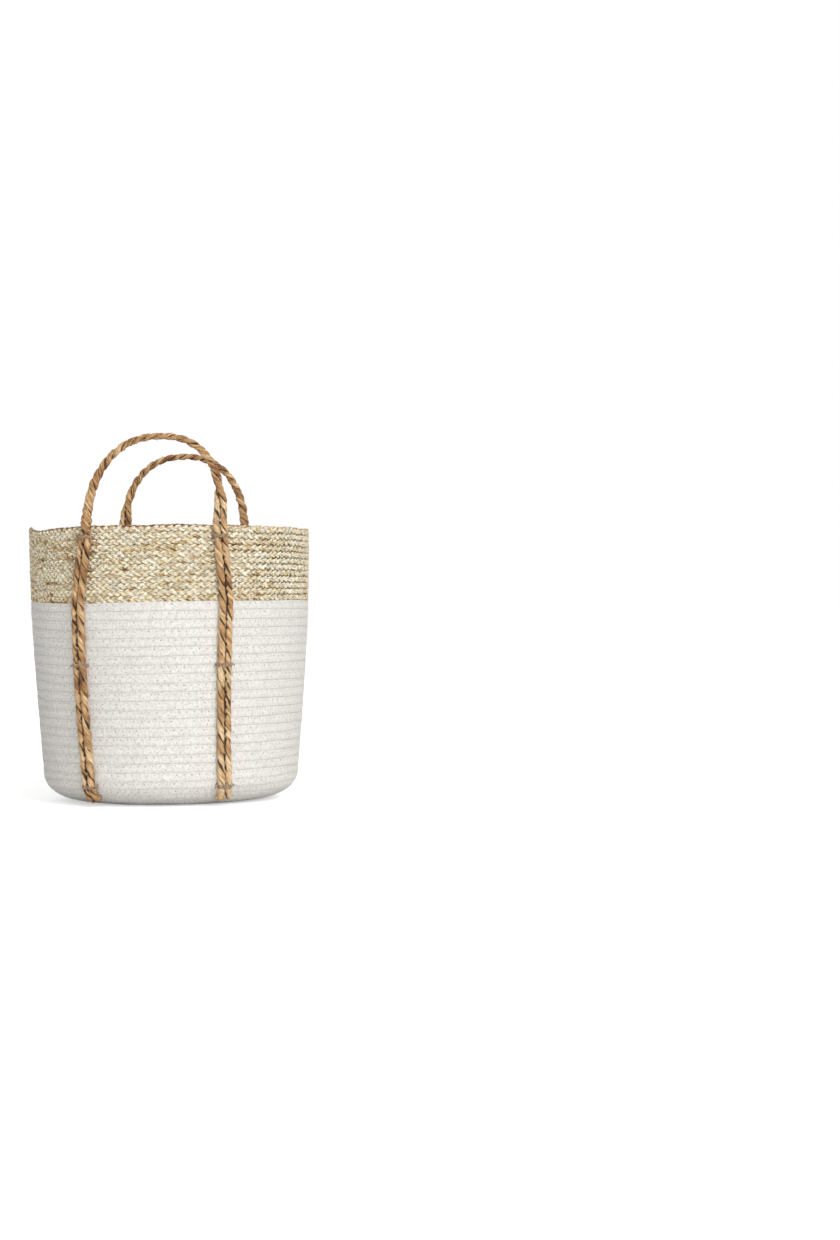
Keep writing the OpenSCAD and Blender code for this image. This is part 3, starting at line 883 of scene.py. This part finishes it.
def rope(piece, line, radius, partner, press, seed, paler):
    """A soft rope of two leaf plies, laid left-handed, with frayed ends."""
    run = lengths(line)
    along, side, other = travel(line, (1, 0, 0))
    turn = -2 * math.pi * run / PLY_LAY + 0.5 * waves(run, seed, 9, 17)
    fray = smooth(1 - np.minimum(run, run[-1] - run) / 0.012)
    crown = (ROPE_R - radius) / (ROPE_R - CROWN_R)
    low = smooth(1 - line[:, 2] / 0.25)
    # paler towards the right end as painted light, strongest on the front handle's lit right leg; lighter
    # towards the feet and darker over the arch
    shade = 0.44 + paler * smooth(run / run[-1]) + 0.12 * low - 0.08 * crown
    for j in range(2):
        tag = seed + 11 * j
        angle = turn + math.pi * j + 0.20 * waves(run, tag + 1, 7, 21, 33)
        away = np.cos(angle)[:, None] * side + np.sin(angle)[:, None] * other
        fat = 1 + 0.09 * waves(run, tag + 2, 13, 31, 67)
        thick, wide = PLY_THICK * radius * fat, PLY_WIDE * radius * fat
        centre = line + away * (radius * (PLY_OUT + 0.25 * fray))[:, None]
        centre = centre + 0.00015 * np.stack([waves(run, tag + 4 + k, 60, 110) for k in range(3)], 1)
        tone = shade + 0.20 * waves(run, tag + 3, 6, 14, 37) + 0.24 * (j - 0.5) * (1 - 0.7 * press)
        # one ply starts a little late and the other ends a little early
        keep = slice(2, None) if j else slice(0, len(run) - 3)
        core = (line[keep], radius[keep], partner[keep], press[keep])
        tube(piece, centre[keep], away[keep], thick[keep], wide[keep], 24, tone[keep], tag,
             folds=0.09, square=2.1, core=core)
    fibres(piece, line, along, side, other, radius, seed, 150, (0.003, 0.007))


def fibres(piece, line, along, side, other, radius, seed, count, reach):
    """Loose leaf fibres that stand off a rope or cord."""
    rng = np.random.default_rng(seed + 77)
    for i in rng.integers(3, len(line) - 3, count):
        a = rng.uniform(0, 2 * math.pi)
        out = math.cos(a) * side[i] + math.sin(a) * other[i]
        lean = Vector(along[i] * rng.choice([-1, 1]) + out * rng.uniform(0.25, 0.8)).normalized()
        length = rng.uniform(*reach)
        at = Vector(line[i] + out * radius[i] * 0.9) + lean * length * 0.42
        place = Matrix.Translation(at) @ lean.to_track_quat("Z", "Y").to_matrix().to_4x4()
        made = bmesh.ops.create_cone(piece.bm, cap_ends=True, segments=3, radius1=FIBRE_R,
                                     radius2=FIBRE_TIP_R, depth=length, matrix=place)
        tone = rng.uniform(0.2, 0.9)
        for v in made["verts"]:
            v[piece.tone] = tone
            v[piece.grain] = v.co


# ---- lashings ----
def tie(handle, side, level, material):
    """Twine wrapped three times round a pair of ropes and through the wall, with short tails."""
    front, left = handle == "front", side == "left"
    sign = -1 if left else 1
    angle = float(pair_angle(TIE_HEIGHTS[level], -sign * (FRONT_BOW if front else 0.0)))
    azimuth = -math.pi / 2 + (sign if front else -sign) * angle + (0 if front else math.pi)
    seed = 500 + 37 * list(TIE_HEIGHTS).index(level) + 7 * (not front) + 3 * left
    rng = np.random.default_rng(seed)

    def at(further=0.0, out=0.0):
        return on_body(np.array([run_at(TIE_HEIGHTS[level]) + further]), np.array([azimuth]), out)[0]

    base = at()
    up = unit(at(0.003) - at(-0.003))
    out = unit(at(out=0.01) - base)
    sideways = np.cross(up, out)
    # the ropes give a little under the twine
    half = 2 * ROPE_R * 0.95 + PAIR_GAP / 2 + TWINE_R
    reach = 2 * ROPE_R * 0.96 + GAP + TWINE_R
    behind = COTTON_THICK + 0.0012
    piece = Piece(f"{handle}_{side}_lashing_{level}")
    t = np.linspace(0, 2 * math.pi, 121)
    cos, sin = np.cos(t), np.sin(t)
    for wrap, (rise, swell) in enumerate(((-0.0018, 0.0), (0.0012, 0.0), (-0.0003, 0.0009))):
        x = squarer(cos, WRAP_POWER) * (half + swell * 0.6)
        y = squarer(sin, WRAP_POWER) * np.where(sin > 0, reach + swell, behind)
        dip = 0.0010 * np.exp(-((x / 0.0022) ** 2)) * (sin > 0)
        uneven = 0.00025 * waves(t / WRAP_ROUND, seed + wrap, 3, 5) * (sin > 0)
        slant = rng.uniform(-0.0009, 0.0009) * cos + uneven
        line = base + x[:, None] * sideways + (y - dip)[:, None] * out + (rise + slant)[:, None] * up
        line[-1] = line[0]
        twine(piece, line, TWINE_R, seed + 20 * wrap)
    u = np.linspace(0, 1, 9)[:, None]
    for tail in range(3):
        edge = rng.choice([-1, 1]) if tail else 1
        start = base + edge * (half - 0.0005) * sideways
        start = start + out * rng.uniform(0.003, 0.008) + up * rng.uniform(-0.0015, 0.0015)
        way = edge * sideways * rng.uniform(0.6, 1.2) + out * rng.uniform(0.0, 0.6)
        way = unit(way + up * rng.uniform(-0.8, 0.8))
        line = start + way * u * rng.uniform(0.003, 0.006) - up * 0.0015 * u**2
        twine(piece, line, TWINE_R * 0.8, seed + 90 + tail)
    return piece.finish(material, "twine", f"{handle}_{side}_tie_{level}")


def twine(piece, line, radius, seed):
    """Thin two-ply cord."""
    line = even(line, TWINE_STEP)[0]
    run = lengths(line)
    side, other = travel(line, (0.3, 0.2, 1))[1:]
    for j in range(2):
        angle = -2 * math.pi * run / TWINE_LAY + math.pi * j
        away = np.cos(angle)[:, None] * side + np.sin(angle)[:, None] * other
        tone = np.clip(0.5 + 0.2 * waves(run, seed + j, 40, 110), 0, 1)
        size = radius * (0.60 + 0.06 * waves(run, seed + 5 + j, 90, 230))
        tube(piece, line + away * (radius * 0.45), away, size, size, 6, tone, seed + j, folds=0.06)


# ---- stage ----
def stage():
    """A wide pale floor that looks white without throwing more light on the object."""
    floor = bpy.data.meshes.new("floor")
    bm = bmesh.new()
    bmesh.ops.create_grid(bm, x_segments=1, y_segments=1, size=30.0)
    bm.to_mesh(floor)
    bm.free()
    obj = bpy.data.objects.new("floor", floor)
    bpy.context.scene.collection.objects.link(obj)
    f = Finish("white_floor", 0.9)
    f.shader.inputs["Base Color"].default_value = (0.9, 0.9, 0.9, 1)
    f.shader.inputs["Specular IOR Level"].default_value = 0.0
    glow = f.node("Emission", {"Strength": f.calc("MULTIPLY", f.seen(), 0.5)})
    both = f.node("AddShader", {0: f.shader.outputs[0], 1: glow.outputs[0]})
    f.link(both.outputs[0], f.tree.nodes["Material Output"].inputs["Surface"])
    floor.materials.append(f.material)


def world():
    """A white room, dimmer where it lights the object than where it is seen."""
    sky = bpy.data.worlds.new("studio")
    w = Wiring(sky)
    background = w.tree.nodes["Background"]
    background.inputs["Color"].default_value = (1, 1, 1, 1)
    w.link(w.stretch(w.seen(), 0.0, 1.0, 0.55, 1.0), background.inputs["Strength"])
    bpy.context.scene.world = sky


def lamp(name, towards, strength, spread):
    """A soft far lamp that shines the same way everywhere, spread over an angle in degrees."""
    data = bpy.data.lights.new(name, "SUN")
    data.energy = strength
    data.angle = math.radians(spread)
    obj = bpy.data.objects.new(name, data)
    obj.rotation_euler = Vector(towards).to_track_quat("-Z", "Y").to_euler()
    bpy.context.scene.collection.objects.link(obj)


def camera():
    """A level view of the front from 3 m away, with the camera a little to the right of the basket."""
    place = (0.3793, -3.11, 0.2305)
    yaw, pitch, roll = math.radians(0.712), math.radians(0.202), math.radians(-0.469)
    sensor = 36.0
    focal_length = 2280 / 1240  # over the height of the frame
    forward = Vector((-math.sin(yaw) * math.cos(pitch), math.cos(yaw) * math.cos(pitch), math.sin(pitch)))
    right = Vector((math.cos(yaw), math.sin(yaw), 0))
    up = right.cross(forward)
    right, up = right * math.cos(roll) + up * math.sin(roll), up * math.cos(roll) - right * math.sin(roll)
    data = bpy.data.cameras.new("camera")
    data.sensor_width = sensor
    data.lens = focal_length * sensor
    obj = bpy.data.objects.new("camera", data)
    turn = Matrix((right, up, -forward)).transposed().to_4x4()
    obj.matrix_world = Matrix.Translation(place) @ turn
    bpy.context.scene.collection.objects.link(obj)
    bpy.context.scene.camera = obj


# ---- assembly ----
cotton, thread = cotton_finish(), thread_finish()
husk, leaf, twisted_leaf = husk_finish(), rope_finish(), twine_finish()

coil("cotton_floor", COIL_START, FLOOR_TURNS, FLOOR_RINGS, cotton, "base_coil")
coil("cotton_wall", FLOOR_TURNS, COIL_END, WALL_RINGS, cotton, "wall_coil")
zigzag("outer_stitching", -THREAD_SINK, THREAD_WEAVE, thread)
zigzag("inner_stitching", -COTTON_THICK + THREAD_SINK, -THREAD_WEAVE, thread)

for row in range(BAND_ROWS):
    braid_row(row, husk)
rim_edging(husk)
band_stitching(thread)

HANDLES = {  # sway, bow, how much paler the right end is as painted light, seed, and 1 at the front or -1 at the rear
    "front": (FRONT_SWAY, FRONT_BOW, 0.22, 200, 1),
    "rear": (0.0, 0.0, 0.06, 250, -1),
}
for handle, (sway, bow, paler, seed, side_of) in HANDLES.items():
    facing = np.array([side_of, side_of, 1])
    pair = zip("ab", ("outer", "inner"), (0, 20), rope_lines(sway, bow))
    for letter, place, further, (line, radius, partner, press) in pair:
        piece = Piece(f"{handle}_rope_{letter}")
        rope(piece, line * facing, radius, partner * facing, press, seed + further, paler)
        legs = [f"{handle}_{side}_leg_{place}" for side in ("left", "right")]
        obj = piece.finish(leaf, "rope", f"{handle}_grip_strand_{letter}", *legs, body=None)
        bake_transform(obj)
    for side in ("left", "right"):
        for level in TIE_HEIGHTS:
            tie(handle, side, level, twisted_leaf)

stage()
world()
lamp("key", (-0.55, 0.82, -0.50), strength=1.5, spread=25)
lamp("front", (-0.22, 1.0, -0.14), strength=1.05, spread=15)
camera()
bpy.context.scene.view_settings.view_transform = "Standard"
